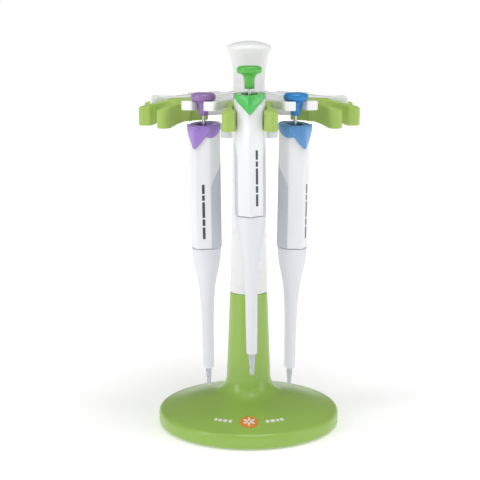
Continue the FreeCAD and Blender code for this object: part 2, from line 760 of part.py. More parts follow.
def barrel_and_sleeve(name, kind, placement):
    seam, shoulder, tip = kind + "_seam", kind + "_shoulder", kind + "_tip"
    seat = FreeCAD.Vector(0, 0, value("- " + seam + " + barrel_rise"))
    ring = cylinder(name + "_seal_ring", "barrel_plug", "seal_height", seat)
    hole = cylinder(name + "_seal_hole", "seal_bore", "seal_height", seat)
    node(cut(name + "_seal", ring, hole), name + "_piston_seal", placement)

    flange = "- " + seam + " - flange_drop"
    bottom = "- " + seam + " - piston_past_seam - 17"
    node(revolve(name + "_barrel", [
        ("barrel_bore", "- " + seam + " + barrel_rise"),
        ("barrel_plug", "- " + seam + " + barrel_rise"),
        ("barrel_plug", "- " + seam + " - 3"),
        ("barrel_radius", "- " + seam + " - 3"),
        ("barrel_radius", flange),
        ("barrel_flange", flange),
        ("barrel_flange", flange + " - 2"),
        ("barrel_lower", flange + " - 2"),
        ("barrel_lower", "- " + shoulder + " + 3"),
        ("nozzle_radius", "- " + shoulder + " + 3"),
        ("nozzle_radius", "- " + shoulder),
        ("nozzle_tip", "- " + tip),
        ("nozzle_bore", "- " + tip),
        ("nozzle_bore", bottom),
        ("barrel_bore", bottom),
    ]), name + "_nozzle", placement)

    sleeve = revolve(name + "_sleeve_wall", [
        ("sleeve_top", "- " + seam + " - sleeve_gap"),
        ("sleeve_top - 0.8", "- " + seam + " - 10.5"),
        ("0.75 * sleeve_top", "- " + seam + " - 21"),
        ("0.56 * sleeve_top", "- " + seam + " - 33.5"),
        ("0.46 * sleeve_top", "- " + seam + " - 48"),
        ("sleeve_end + 0.6", "- " + seam + " - 60"),
        ("sleeve_end", "- " + shoulder),
        ("sleeve_lip", "- " + shoulder),
        ("sleeve_lip", "- " + shoulder + " + 1.5"),
        ("sleeve_lower_bore", "- " + shoulder + " + 1.5"),
        ("sleeve_lower_bore", "- " + seam + " - 52"),
        ("sleeve_bore", "- " + seam + " - 34"),
        ("sleeve_bore", "- " + seam + " - 8"),
        ("barrel_plug + 0.15", "- " + seam + " - 8"),
        ("barrel_plug + 0.15", "- " + seam + " - sleeve_gap"),
    ])
    rod = cylinder(name + "_ejector_rod", "ejector_rod", seam + " + 3 - handle_top + 0.1",
                   FreeCAD.Vector(0, value("- rod_lane"), value("- " + seam + " - 3")))
    node(fuse(name + "_sleeve", sleeve, rod), name + "_ejector_sleeve", placement)

    low = FreeCAD.Vector(0, 0, value("- " + seam + " - flange_drop + 0.05"))
    length = "flange_drop - 8.1"
    coil = cylinder(name + "_return_coil", "barrel_flange - 0.1", length, low)
    hollow = cylinder(name + "_return_hole", "barrel_radius + 0.2", length, low)
    node(cut(name + "_return", coil, hollow), name + "_ejector_spring", placement)


def pipette(name, kind, azimuth, lean_axis, lean, pivot, tab_on_left=False):
    """Place the pipette's front at the azimuth and lean it a little about the pivot."""
    stand = FreeCAD.Placement(around(value(kind + "_circle"), azimuth, value(kind + "_rim_z")),
                              FreeCAD.Rotation(Z_AXIS, azimuth - 270))
    tilt = FreeCAD.Placement(FreeCAD.Vector(), FreeCAD.Rotation(lean_axis, lean),
                             FreeCAD.Vector(0, 0, pivot))
    placement = stand.multiply(tilt)
    handle_and_panel(name, kind, placement)
    collar(name, placement)
    ejector_key(name, kind, placement, tab_on_left)
    button_and_plunger(name, kind, placement)
    barrel_and_sleeve(name, kind, placement)


base_shell()
base_inside()
badge()
spindle()
turret()
hub()
for index in range(6):
    hanger_arm(60 * index, index + 1)
    fork(30 + 60 * index, index + 1)
hang_pivot = value("side_neck + button_rise")
pipette("purple", "side", 240, X_AXIS, value("side_lean"), hang_pivot,
        tab_on_left=True)
pipette("blue", "side", 300, X_AXIS, value("side_lean"), hang_pivot)
pipette("green", "front", 270, Y_AXIS, value("- front_lean"), value("- front_pivot"))
doc.recompute()

failed = [thing.Label for thing in doc.Objects
          if "Invalid" in thing.State or "Error" in thing.State]
for piece in finished:
    if piece.Shape.isNull() or not piece.Shape.isValid() or not piece.Shape.Solids:
        failed.append(piece.Label)
if failed:
    raise RuntimeError("failed: " + ", ".join(failed))
for piece in finished:
    piece.Shape.exportStep("parts/%s.step" % piece.Label)
    print("%-24s %d solid(s) %10.1f mm3" % (piece.Label, len(piece.Shape.Solids), piece.Shape.Volume))
print(len(finished), "nodes")
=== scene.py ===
import json
import math

import bmesh
import bpy
from mathutils import Matrix, Vector


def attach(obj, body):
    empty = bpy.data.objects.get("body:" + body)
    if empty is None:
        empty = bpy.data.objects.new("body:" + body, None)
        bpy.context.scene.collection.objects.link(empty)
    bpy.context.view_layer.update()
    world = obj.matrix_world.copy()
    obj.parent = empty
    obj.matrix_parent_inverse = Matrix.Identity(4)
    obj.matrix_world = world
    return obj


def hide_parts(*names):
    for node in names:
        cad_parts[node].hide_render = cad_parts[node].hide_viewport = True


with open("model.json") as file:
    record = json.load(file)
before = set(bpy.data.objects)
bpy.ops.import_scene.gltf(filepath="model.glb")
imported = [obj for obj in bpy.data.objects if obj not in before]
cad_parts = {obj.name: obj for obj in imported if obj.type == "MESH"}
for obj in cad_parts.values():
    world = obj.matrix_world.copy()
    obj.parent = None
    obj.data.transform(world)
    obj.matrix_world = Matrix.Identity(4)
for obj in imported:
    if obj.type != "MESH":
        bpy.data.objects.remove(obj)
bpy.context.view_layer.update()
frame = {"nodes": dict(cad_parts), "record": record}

mm = 0.001
pole = 0.02  # radius at which a turned profile is closed
nodes = frame["nodes"]
print("frame loaded:", len(nodes), "nodes")


def tone(red, green, blue):
    def straight(level):
        level /= 255
        return level / 12.92 if level <= 0.04045 else ((level + 0.055) / 1.055) ** 2.4
    return (straight(red), straight(green), straight(blue), 1)


def startMesh(name, addPrimitive, **where):
    if bpy.context.mode != "OBJECT":
        bpy.ops.object.mode_set(mode="OBJECT")
    bpy.ops.object.select_all(action="DESELECT")
    addPrimitive(**where)
    piece = bpy.context.object
    piece.name = piece.data.name = name
    bpy.ops.object.transform_apply(location=True, rotation=True, scale=True)
    bpy.ops.object.mode_set(mode="EDIT")
    bpy.ops.mesh.select_all(action="SELECT")
    return piece


def choose(piece):
    bpy.ops.object.select_all(action="DESELECT")
    piece.select_set(True)
    bpy.context.view_layer.objects.active = piece


def pick(piece, test, kind="VERT"):
    # test gets a vertex's place in mm; an edge is picked when both of its ends pass
    bpy.ops.mesh.select_mode(type=kind)
    bpy.ops.mesh.select_all(action="DESELECT")
    shape = bmesh.from_edit_mesh(piece.data)
    for item in {"VERT": shape.verts, "EDGE": shape.edges}[kind]:
        ends = [item] if kind == "VERT" else item.verts
        if all(test(end.co / mm) for end in ends):
            item.select_set(True)
    shape.select_flush_mode()
    bmesh.update_edit_mesh(piece.data)


def cutFlat(at, normal, keepBoth=False):
    bpy.ops.mesh.select_mode(type="VERT")
    bpy.ops.mesh.select_all(action="SELECT")
    bpy.ops.mesh.bisect(plane_co=Vector(at) * mm, plane_no=Vector(normal).normalized(),
                        threshold=1e-7, use_fill=not keepBoth, clear_outer=not keepBoth)


def arc(acrossAt, upAt, radius, start, end, steps):
    points = []
    for step in range(steps + 1):
        angle = math.radians(start + (end - start) * step / steps)
        points.append((acrossAt + radius * math.cos(angle), upAt + radius * math.sin(angle)))
    return points


def turnRings(name, rings, around=96, centre=(0, 0)):
    # a circle is extruded and resized from ring to ring; rings are (radius, height)
    radius, height = rings[0]
    piece = startMesh(name, bpy.ops.mesh.primitive_circle_add, vertices=around,
                      radius=radius * mm, location=(centre[0] * mm, centre[1] * mm, height * mm))
    for nextRadius, nextHeight in rings[1:]:
        bpy.ops.mesh.extrude_region_move(
            TRANSFORM_OT_translate={"value": (0, 0, (nextHeight - height) * mm)})
        bpy.ops.transform.resize(value=(nextRadius / radius, nextRadius / radius, 1),
                                 center_override=(centre[0] * mm, centre[1] * mm, nextHeight * mm))
        radius, height = nextRadius, nextHeight
    for endRadius, endHeight in (rings[0], rings[-1]):
        if endRadius <= pole:
            pick(piece, lambda p: abs(p.z - endHeight) < 1e-3 and
                 math.hypot(p.x - centre[0], p.y - centre[1]) < 0.1)
            bpy.ops.mesh.merge(type="CENTER")
    bpy.ops.mesh.select_all(action="SELECT")
    bpy.ops.mesh.remove_doubles(threshold=1e-6)
    return piece


def outlined(name, plane, points, start, depth):
    # a circle's corners are moved onto the outline, filled and extruded
    def put(across, up, level):
        return {"plan": Vector((across, up, level)), "side": Vector((level, across, up)),
                "front": Vector((across, level, up))}[plane] * mm
    piece = startMesh(name, bpy.ops.mesh.primitive_circle_add, vertices=len(points), radius=mm)
    for index, (across, up) in enumerate(points):
        bpy.ops.mesh.select_all(action="DESELECT")
        shape = bmesh.from_edit_mesh(piece.data)
        shape.verts.ensure_lookup_table()
        corner = shape.verts[index]
        corner.select_set(True)
        step = put(across, up, start) - corner.co
        bpy.ops.transform.translate(value=step)
    bpy.ops.mesh.select_all(action="SELECT")
    bpy.ops.mesh.edge_face_add()
    bpy.ops.mesh.extrude_region_move(TRANSFORM_OT_translate={"value": put(0, 0, depth)})
    bpy.ops.mesh.select_all(action="SELECT")
    bpy.ops.mesh.normals_make_consistent(inside=False)
    return piece


def carve(piece, cutter, operation="DIFFERENCE"):
    for thing in (cutter, piece):
        if bpy.context.mode != "OBJECT":
            bpy.ops.object.mode_set(mode="OBJECT")
        choose(thing)
        bpy.ops.object.mode_set(mode="EDIT")
        bpy.ops.mesh.select_all(action="SELECT")
        bpy.ops.mesh.normals_make_consistent(inside=False)
        bpy.ops.object.mode_set(mode="OBJECT")
    modifier = piece.modifiers.new("carve", "BOOLEAN")
    modifier.operation = operation
    modifier.object = cutter
    modifier.solver = "EXACT"
    bpy.ops.object.modifier_apply(modifier=modifier.name)
    bpy.data.objects.remove(cutter)
    return piece


def copyOf(piece, name):
    twin = piece.copy()
    twin.data = piece.data.copy()
    twin.name = twin.data.name = name
    bpy.context.scene.collection.objects.link(twin)
    return twin


def joined(piece, *others):
    if bpy.context.mode != "OBJECT":
        bpy.ops.object.mode_set(mode="OBJECT")
    bpy.ops.object.select_all(action="DESELECT")
    for other in others:
        other.select_set(True)
    piece.select_set(True)
    bpy.context.view_layer.objects.active = piece
    bpy.ops.object.join()
    return piece


def softEdges(piece, width, segments=2, fromAngle=30):
    if bpy.context.mode != "OBJECT":
        bpy.ops.object.mode_set(mode="OBJECT")
    choose(piece)
    modifier = piece.modifiers.new("softEdges", "BEVEL")
    modifier.width = width * mm
    modifier.segments = segments
    modifier.limit_method = "ANGLE"
    modifier.angle_limit = math.radians(fromAngle)
    modifier.miter_outer = "MITER_ARC"
    modifier.use_clamp_overlap = True
    bpy.ops.object.modifier_apply(modifier=modifier.name)
    return piece


def finishPiece(piece, body, material, replaced=(), smoothAngle=40, move=None):
    if bpy.context.mode != "OBJECT":
        bpy.ops.object.mode_set(mode="OBJECT")
    choose(piece)
    bpy.ops.object.mode_set(mode="EDIT")
    bpy.ops.mesh.select_all(action="SELECT")
    bpy.ops.mesh.remove_doubles(threshold=2e-6)
    bpy.ops.mesh.normals_make_consistent(inside=False)
    bpy.ops.object.mode_set(mode="OBJECT")
    if move is not None:
        piece.matrix_world = move
        bpy.ops.object.transform_apply(location=True, rotation=True, scale=True)
    bpy.ops.object.shade_smooth_by_angle(angle=math.radians(smoothAngle))
    piece.data.materials.clear()
    piece.data.materials.append(material)
    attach(piece, body)
    if replaced:
        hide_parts(*replaced)
    return piece


def addNode(tree, kind, **settings):
    made = tree.nodes.new(kind)
    for name, setting in settings.items():
        setattr(made, name, setting)
    return made


grainLook = {"drift": 14, "driftDetail": 3, "driftFrom": 0.35, "driftTo": 0.65, "marks": 140,
             "marksDetail": 6, "marksRough": 0.65, "marksFrom": 0.15, "marksTo": 0.85,
             "grainDetail": 2, "bump": 0.12, "coatRough": 0.12, "ior": 1.49}


def moulded(name, colour, shade=0.975, rough=(0.28, 0.4), grain=3500, grainDepth=0.004,
            coat=0.0, through=0.0, sheen=0.0):
    # moulded plastic: slow colour drift, a fine spark-eroded grain and faint handling marks
    look = grainLook
    material = bpy.data.materials.new(name)
    material.use_nodes = True
    tree = material.node_tree
    shader = tree.nodes["Principled BSDF"]
    place = addNode(tree, "ShaderNodeTexCoord")
    drift = addNode(tree, "ShaderNodeTexNoise")
    drift.inputs["Scale"].default_value = look["drift"]
    drift.inputs["Detail"].default_value = look["driftDetail"]
    tree.links.new(place.outputs["Object"], drift.inputs["Vector"])
    ramp = addNode(tree, "ShaderNodeValToRGB")
    ramp.color_ramp.elements[0].position = look["driftFrom"]
    ramp.color_ramp.elements[1].position = look["driftTo"]
    ramp.color_ramp.elements[0].color = [part * shade for part in colour[:3]] + [1]
    ramp.color_ramp.elements[1].color = colour
    tree.links.new(drift.outputs["Fac"], ramp.inputs["Fac"])
    tree.links.new(ramp.outputs["Color"], shader.inputs["Base Color"])
    marks = addNode(tree, "ShaderNodeTexNoise")
    marks.inputs["Scale"].default_value = look["marks"]
    marks.inputs["Detail"].default_value = look["marksDetail"]
    marks.inputs["Roughness"].default_value = look["marksRough"]
    tree.links.new(place.outputs["Object"], marks.inputs["Vector"])
    gloss = addNode(tree, "ShaderNodeMapRange")
    gloss.inputs["From Min"].default_value = look["marksFrom"]
    gloss.inputs["From Max"].default_value = look["marksTo"]
    gloss.inputs["To Min"].default_value = rough[0]
    gloss.inputs["To Max"].default_value = rough[1]
    tree.links.new(marks.outputs["Fac"], gloss.inputs["Value"])
    tree.links.new(gloss.outputs["Result"], shader.inputs["Roughness"])
    fine = addNode(tree, "ShaderNodeTexNoise")
    fine.inputs["Scale"].default_value = grain
    fine.inputs["Detail"].default_value = look["grainDetail"]
    tree.links.new(place.outputs["Object"], fine.inputs["Vector"])
    bump = addNode(tree, "ShaderNodeBump")
    bump.inputs["Strength"].default_value = look["bump"]
    bump.inputs["Distance"].default_value = grainDepth * mm
    tree.links.new(fine.outputs["Fac"], bump.inputs["Height"])
    tree.links.new(bump.outputs["Normal"], shader.inputs["Normal"])
    shader.inputs["Coat Weight"].default_value = coat
    shader.inputs["Coat Roughness"].default_value = look["coatRough"]
    shader.inputs["Sheen Weight"].default_value = sheen
    shader.inputs["Transmission Weight"].default_value = through
    shader.inputs["IOR"].default_value = look["ior"]
    return material


def metal(name, colour, rough=(0.18, 0.34), stretch=(900, 900, 60)):
    material = bpy.data.materials.new(name)
    material.use_nodes = True
    tree = material.node_tree
    shader = tree.nodes["Principled BSDF"]
    place = addNode(tree, "ShaderNodeTexCoord")
    spread = addNode(tree, "ShaderNodeMapping")
    spread.inputs["Scale"].default_value = stretch
    tree.links.new(place.outputs["Object"], spread.inputs["Vector"])
    lines = addNode(tree, "ShaderNodeTexNoise")
    lines.inputs["Scale"].default_value = 1
    lines.inputs["Detail"].default_value = 5
    tree.links.new(spread.outputs["Vector"], lines.inputs["Vector"])
    ramp = addNode(tree, "ShaderNodeValToRGB")
    ramp.color_ramp.elements[0].color = [part * 0.8 for part in colour[:3]] + [1]
    ramp.color_ramp.elements[1].color = colour
    tree.links.new(lines.outputs["Fac"], ramp.inputs["Fac"])
    tree.links.new(ramp.outputs["Color"], shader.inputs["Base Color"])
    gloss = addNode(tree, "ShaderNodeMapRange")
    gloss.inputs["To Min"].default_value = rough[0]
    gloss.inputs["To Max"].default_value = rough[1]
    tree.links.new(lines.outputs["Fac"], gloss.inputs["Value"])
    tree.links.new(gloss.outputs["Result"], shader.inputs["Roughness"])
    shader.inputs["Metallic"].default_value = 1
    return material


limePlastic = moulded("limePlastic", tone(158, 195, 88), rough=(0.26, 0.36), coat=0.12)
limeGrip = moulded("limeGrip", tone(162, 192, 92), shade=0.96, rough=(0.4, 0.52), grain=2600,
                   grainDepth=0.012, sheen=0.05)
whitePlastic = moulded("whitePlastic", tone(240, 240, 241), shade=0.97, rough=(0.24, 0.34),
                       coat=0.15)
handleWhite = moulded("handleWhite", tone(236, 237, 240), shade=0.97, rough=(0.28, 0.38), coat=0.1)
sleeveWhite = moulded("sleeveWhite", tone(228, 230, 235), shade=0.97, rough=(0.3, 0.42))
greyGrip = moulded("greyGrip", tone(205, 208, 216), shade=0.95, rough=(0.5, 0.62), grain=2600,
                   grainDepth=0.02, sheen=0.1)
purplePlastic = moulded("purplePlastic", tone(158, 124, 204), rough=(0.26, 0.36), coat=0.1)
purpleButton = moulded("purpleButton", tone(146, 112, 172), rough=(0.3, 0.4), coat=0.1)
bluePlastic = moulded("bluePlastic", tone(92, 148, 208), rough=(0.26, 0.36), coat=0.1)
blueButton = moulded("blueButton", tone(26, 128, 196), rough=(0.26, 0.36), coat=0.15)
greenPlastic = moulded("greenPlastic", tone(72, 188, 84), rough=(0.22, 0.32), coat=0.2)
greenButton = moulded("greenButton", tone(84, 180, 70), rough=(0.24, 0.34), coat=0.2)
nozzlePlastic = moulded("nozzlePlastic", tone(214, 217, 226), rough=(0.22, 0.34), through=0.25)
orangeBadge = moulded("orangeBadge", tone(240, 140, 44), rough=(0.25, 0.35), coat=0.3)
markWhite = moulded("markWhite", tone(246, 247, 240), rough=(0.35, 0.45))
markDark = moulded("markDark", tone(62, 64, 70), rough=(0.4, 0.5))
blackRubber = moulded("blackRubber", tone(38, 38, 40), shade=0.8, rough=(0.6, 0.75), grain=1800,
                      grainDepth=0.08)
bushPlastic = moulded("bushPlastic", tone(214, 210, 196), rough=(0.4, 0.5))
steel = metal("steel", tone(196, 198, 200))
iron = metal("iron", tone(120, 120, 124), rough=(0.4, 0.6), stretch=(300, 300, 300))

slotFinish = {
    "lime_plastic": limePlastic, "lime_grip": limeGrip, "white_plastic": whitePlastic,
    "grey_grip": greyGrip, "purple_plastic": purplePlastic, "blue_plastic": bluePlastic,
    "green_plastic": greenPlastic, "nozzle_plastic": nozzlePlastic, "orange_badge": orangeBadge,
    "steel": steel, "iron": iron, "black_rubber": blackRubber, "bush_plastic": bushPlastic,
}
for entry in frame["record"]["subparts"]:
    for place in nodes[entry["node"]].material_slots:
        place.material = slotFinish[entry["material_slot"]]
print("finishes ready")


base = {"radius": 75, "floor": 1.2, "sideTop": 9.5, "rimRound": 4, "domeRadius": 34.2,
        "domeTop": 25, "flare": 16, "columnFoot": 18.2, "columnTop": 15.4, "columnHeight": 111.6,
        "wallFoot": 71.3, "slope": [(60, 16.95), (50, 20.1), (42, 22.6)], "waist": (16.8, 76),
        "bore": 5.2, "hollow": [(12, 34), (32, 21.5), (66, 10)], "around": 160}


def makeBase():
    size = base
    floor, top, column = size["floor"], size["columnHeight"], size["columnTop"]
    rimCentre = size["radius"] - size["rimRound"]
    flareCentre = size["columnFoot"] + size["flare"]
    rings = [(66, floor + 2), (size["wallFoot"], floor + 2), (size["wallFoot"], floor),
             (73.2, floor), (74.4, floor + 0.7), (size["radius"], floor + 2.4)]
    rings += arc(rimCentre, size["sideTop"], size["rimRound"], 0, 72, 8)
    rings += [(69, size["sideTop"] + size["rimRound"] + 0.45)] + size["slope"]
    rings += arc(flareCentre, size["domeTop"] + size["flare"], size["flare"], 252, 180, 16)
    rings += [size["waist"], (column + 0.08, top - 1), (column - 0.25, top - 0.15),
              (column - 0.9, top), (size["bore"], top)]
    rings += [(size["bore"], top - 6.8), (12, top - 7)] + size["hollow"]
    shell = turnRings("baseShell", rings + [rings[0]], around=size["around"])
    finishPiece(shell, "stand", limePlastic, ["base_shell"], smoothAngle=35)


makeBase()
print("base done")


# the badge and the plain marks beside it
badge = {"radius": 7.3, "circle": 57,
         "slope": math.atan2(base["domeTop"] - base["sideTop"] - base["rimRound"],
                             base["radius"] - base["rimRound"] - base["domeRadius"]),
         "dashes": [(-27.5, 2.4), (-23.6, 2.9), (-19.4, 3.4), (-15.0, 2.6),
                    (15.0, 2.9), (19.4, 3.4), (23.6, 2.4), (27.5, 2.9)],
         "dashHeight": 3, "petals": 6, "petalRadius": 1.15, "petalOut": 3.1, "petalLift": 0.62}


def onSlope(across, radius):
    # a place on the dome, turned to lie on it: across is the angle from the front
    angle = math.radians(270 + across)
    height = base["domeTop"] - (radius - base["domeRadius"]) * math.tan(badge["slope"])
    place = Vector((radius * math.cos(angle), radius * math.sin(angle), height)) * mm
    return (Matrix.Translation(place) @ Matrix.Rotation(math.radians(across), 4, "Z")
            @ Matrix.Rotation(badge["slope"], 4, "X"))


def makeBadge():
    size = badge
    disc = turnRings("badgeDisc", [(pole, -1.2), (size["radius"], -1.2), (size["radius"], 0.3),
                                   (size["radius"] - 0.15, 0.5), (size["radius"] - 0.5, 0.55),
                                   (pole, 0.6)], around=48)
    finishPiece(disc, "stand", orangeBadge, ["badge"],
                move=onSlope(0, size["circle"]))
    petals = []
    for turn in range(size["petals"]):
        petal = startMesh("badgePetal%d" % turn, bpy.ops.mesh.primitive_cylinder_add, vertices=24,
                          radius=size["petalRadius"] * mm, depth=0.5 * mm,
                          location=(0, 0, size["petalLift"] * mm))
        bpy.ops.transform.resize(value=(0.8, 1.9, 1))
        bpy.ops.transform.translate(value=(0, size["petalOut"] * mm, 0))
        bpy.ops.object.mode_set(mode="OBJECT")
        petal.matrix_world = Matrix.Rotation(math.radians(360 / size["petals"] * turn), 4, "Z")
        bpy.ops.object.transform_apply(location=True, rotation=True, scale=True)
        petals.append(petal)
    emblem = joined(petals[0], *petals[1:])
    emblem.name = emblem.data.name = "badgeEmblem"
    softEdges(emblem, 0.12, 2)
    finishPiece(emblem, "stand", markWhite, move=onSlope(0, size["circle"]))
    for index, (across, width) in enumerate(size["dashes"]):
        dash = startMesh("baseDash%d" % index, bpy.ops.mesh.primitive_cube_add, size=mm,
                         location=(0, 0, 0.05 * mm))
        bpy.ops.transform.resize(value=(width, size["dashHeight"], 0.7),
                                 center_override=(0, 0, 0.05 * mm))
        softEdges(dash, 0.3, 3)
        finishPiece(dash, "stand", markWhite, move=onSlope(across, size["circle"]))


makeBadge()
print("badge done")


turret = {"foot": 111.9, "footRadius": 15.4, "midRadius": 13.9, "midHeight": 211, "neck": 12.7,
          "neckHeight": 284, "lip": 17.8, "lipHeight": 309, "sweep": 58, "top": 316,
          "bore": 9.4, "sides": [(14.9, 145), (14.4, 178)], "upperSide": (13.3, 248),
          "crown": [(17.98, 309.8), (17.9, 310.7), (17.5, 311.6), (16.9, 312.2), (15.9, 312.8),
                    (13.8, 313.6), (11, 314.5), (8, 315.2), (5, 315.7), (2.4, 315.95)],
          "around": 128, "sweepSteps": 12}


def makeTurret():
    size = turret
    foot, wide, bore, neckUp = size["foot"], size["footRadius"], size["bore"], size["neckHeight"]
    rings = [(bore, foot + 0.6), (bore, foot), (wide - 0.9, foot), (wide - 0.25, foot + 0.15),
             (wide, foot + 0.8)]
    rings += size["sides"] + [(size["midRadius"], size["midHeight"]), size["upperSide"],
                              (size["neck"], neckUp), (bore, neckUp)]
    rings += [(bore, foot + 1.2), rings[0]]
    column = turnRings("turretTube", rings, around=size["around"])
    finishPiece(column, "carousel", whitePlastic, ["turret_column"],
                smoothAngle=35)
    # the concave side runs from the neck out to the lip, then rolls over to the crown
    rise = size["lipHeight"] - neckUp
    grow = size["lip"] - size["neck"]
    half = math.hypot(rise, grow) / 2
    back = math.sqrt(size["sweep"] ** 2 - half ** 2)
    middle = ((size["neck"] + size["lip"]) / 2, (neckUp + size["lipHeight"]) / 2)
    centre = (middle[0] + back * rise / (2 * half), middle[1] - back * grow / (2 * half))
    rings = [(pole, neckUp + 0.6), (bore, neckUp + 0.6), (bore, neckUp + 0.02)]
    for step in range(size["sweepSteps"] + 1):
        height = neckUp + 0.02 + (rise - 0.02) * step / size["sweepSteps"]
        across = math.sqrt(size["sweep"] ** 2 - (height - centre[1]) ** 2)
        rings.append((centre[0] - across, height))
    rings += size["crown"] + [(pole, size["top"])]
    cap = turnRings("topCap", rings, around=size["around"])
    finishPiece(cap, "carousel", whitePlastic, ["top_cap"], smoothAngle=40)


makeTurret()
print("turret done")


arm = {"root": 14.2, "rootHalf": 6.5, "level": 59, "half": 9.75, "headInner": 72.2,
       "headOuter": 78.4, "headHalf": 15, "slotHalf": 4.75, "slotCentre": 69.75, "low": 265.2,
       "thick": 7, "rise": 2.8, "soft": 1.1}


def makeArms():
    size = arm
    inner, outer, wide = size["headInner"], size["headOuter"], size["headHalf"]
    half = [(size["root"], size["rootHalf"]), (size["level"], size["half"]),
            (inner - 2, size["half"] + 0.3), (inner - 0.4, size["half"] + 1.9),
            (inner, wide - 1.2), (inner + 1.2, wide), (outer - 1.2, wide), (outer, wide - 1.2),
            (outer, size["slotHalf"] + 1), (outer - 1, size["slotHalf"])]
    slot = arc(size["slotCentre"], 0, size["slotHalf"], 90, 270, 16)
    points = half + slot + [(across, -up) for across, up in reversed(half)]
    model = outlined("hangerArm", "plan", points, size["low"], size["thick"])
    cutFlat((size["level"], 0, 0), (1, 0, 0), keepBoth=True)
    pick(model, lambda p: p.x < size["root"] + 0.1)
    bpy.ops.transform.translate(value=(0, 0, size["rise"] * mm))
    softEdges(model, size["soft"], 3, fromAngle=35)
    for number in range(6):
        twin = copyOf(model, "hangerArm%d" % (number + 1))
        finishPiece(twin, "carousel", whitePlastic,
                    ["hanger_arm_%d" % (number + 1)],
                    move=Matrix.Rotation(math.radians(60 * number), 4, "Z"))
    bpy.data.objects.remove(model)


makeArms()
print("arms done")


fork = {"rear": 43.5, "rearHalf": 12.2, "shoulder": 57, "bellyHalf": 17.6, "waist": 71,
        "waistHalf": 15.5, "flare": 82, "tip": 90.6, "tipHalf": 21.2, "centre": 75,
        "opening": 12.7, "mouthHalf": 9.9, "mouthFlare": 13.4,
        "top": 271.9, "tipTop": 265, "floor": 255.5, "low": 251, "soft": 2.2,
        "notchInner": 6.7, "notchOuter": 11.3, "notchReach": 52.5, "notchLow": 258.95,
        "slopeFrom": 66, "slopeTo": 80, "lip": 2, "lipHalf": 30, "softLate": 0.25}


def makeForks():
    size = fork
    shoulder, waist, flare, tip = size["shoulder"], size["waist"], size["flare"], size["tip"]
    outer = [(size["rear"], size["rearHalf"]), (shoulder - 1, size["rearHalf"] + 0.2),
             (shoulder + 0.6, size["rearHalf"] + 1), (shoulder + 3.2, size["bellyHalf"] - 0.8),
             (shoulder + 4.6, size["bellyHalf"]), (waist - 7.5, size["bellyHalf"] - 0.3),
             (waist - 3, size["waistHalf"] + 0.35), (waist + 1, size["waistHalf"] + 0.35),
             (flare - 4.5, size["tipHalf"] - 3.3), (flare - 1, size["tipHalf"] - 1.1)]
    outer += arc(tip - 5.8, size["tipHalf"] - 5.7, 5.2, 100, 8, 7)
    mouth = [(tip - 0.7, size["mouthFlare"] + 2.2), (tip - 2.2, size["mouthFlare"]),
             (flare + 3, size["mouthHalf"] + 1.1)]
    start = math.degrees(math.asin(size["mouthHalf"] / size["opening"]))
    inner = arc(size["centre"], 0, size["opening"], start, 360 - start, 36)
    points = outer + mouth + inner + [(across, -up) for across, up in reversed(outer + mouth)]
    model = outlined("forkGrip", "plan", points, size["low"], size["top"] - size["low"])
    nearEnd, farEnd = size["slopeFrom"], size["slopeTo"]
    for across in (nearEnd, farEnd):
        cutFlat((across, 0, 0), (1, 0, 0), keepBoth=True)
    pick(model, lambda p: p.z < size["low"] + 0.1)
    shape = bmesh.from_edit_mesh(model.data)
    for corner in shape.verts:
        if corner.select:
            across = min(max(corner.co.x / mm, nearEnd), farEnd)
            share = (farEnd - across) / (farEnd - nearEnd)
            corner.co.z += (size["floor"] - size["low"]) * share * mm
    bmesh.update_edit_mesh(model.data)
    cutFlat((60, 0, size["top"]), (size["top"] - size["tipTop"], 0, size["tip"] - 60))
    softEdges(model, size["soft"], 4, fromAngle=50)
    for sign in (1, -1):
        low, high = sorted((sign * size["notchInner"], sign * size["notchOuter"]))
        notch = outlined("notch", "plan", [(size["rear"] - 2, low), (size["notchReach"], low),
                                           (size["notchReach"], high), (size["rear"] - 2, high)],
                         size["notchLow"], 20)
        carve(model, notch)
    lipIn, lipOut, wide = size["rear"] - size["lip"], size["rear"] + size["lip"], size["lipHalf"]
    lip = outlined("lipCut", "plan", [(lipIn, -wide), (lipOut, -wide), (lipOut, wide),
                                      (lipIn, wide)], size["notchLow"], 20)
    carve(model, lip)
    softEdges(model, size["softLate"], 2, fromAngle=50)
    bodies = {5: "carousel"}
    for number in range(1, 7):
        twin = copyOf(model, "forkGrip%d" % number)
        finishPiece(twin, bodies.get(number, "grip_%d" % number), limeGrip,
                    ["fork_grip_%d" % number], smoothAngle=45,
                    move=Matrix.Rotation(math.radians(60 * number - 30), 4, "Z"))
    bpy.data.objects.remove(model)


makeForks()
print("forks done")


# each pipette is modelled upright with its rim at height 0 and its front towards -Y
body = {"keel": 14, "shoulderX": 9.7, "shoulderY": 7, "sideX": 11.7, "sideY": 0.8,
        "softKeel": 1.3, "panelLow": 46, "panelTop": 24, "bore": 7, "lowerBore": 4.2,
        "laneAt": -10.3, "laneRadius": 1.5, "recessHalf": 4.2, "recessBack": -8.6,
        "recessReach": 8, "recessDepth": 10, "boreFoot": -40, "top": -2.5, "sweepSteps": 12,
        "hookHalf": 4.7, "hook": [
            (9, -2.6), (34, -2.6), (35.1, -3.1), (35.5, -4.4), (35.5, -13), (35.1, -14),
            (34.2, -14.4), (32.2, -14.4), (31.3, -14), (31, -13), (31, -8), (30.6, -6.7),
            (29.6, -6.2), (9, -6.2)]}
kinds = {
    "side": {"seam": 94.5, "shoulder": 192, "tip": 206, "v": 17.5, "neck": 6.6, "circle": 69.6,
             "rim": 254.7, "skirt": 1},
    "front": {"seam": 90.6, "shoulder": 198.7, "tip": 215.5, "v": 14.5, "neck": 3.8, "circle": 75.1,
              "rim": 278.2, "skirt": 0.12},
}
